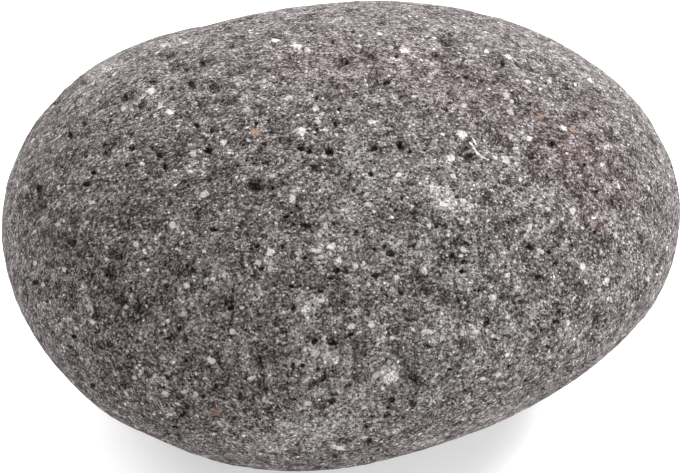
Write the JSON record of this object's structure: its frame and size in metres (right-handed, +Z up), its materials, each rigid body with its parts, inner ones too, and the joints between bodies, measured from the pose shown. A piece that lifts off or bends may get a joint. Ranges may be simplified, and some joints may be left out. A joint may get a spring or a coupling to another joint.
{
  "type": "aquarium pebble",
  "caption": "Water-worn, slightly three-cornered pebble of grey, finely pitted volcanic rock; lies on its flattest side as tank decoration.",
  "frame": {"origin": "on the surface that the stone lies on, under the middle of its length and width", "axes": "+X along the stone's long axis, +Z up out of its upper side, so the stone lies on its flattest side"},
  "size_m": [0.0668, 0.0572, 0.0356],
  "materials": {
    "grey_stone": "matt, finely pitted, speckled with pale crystals"
  },
  "bodies": {
    "root": {"pebble": "grey_stone"}
  },
  "joints": []
}
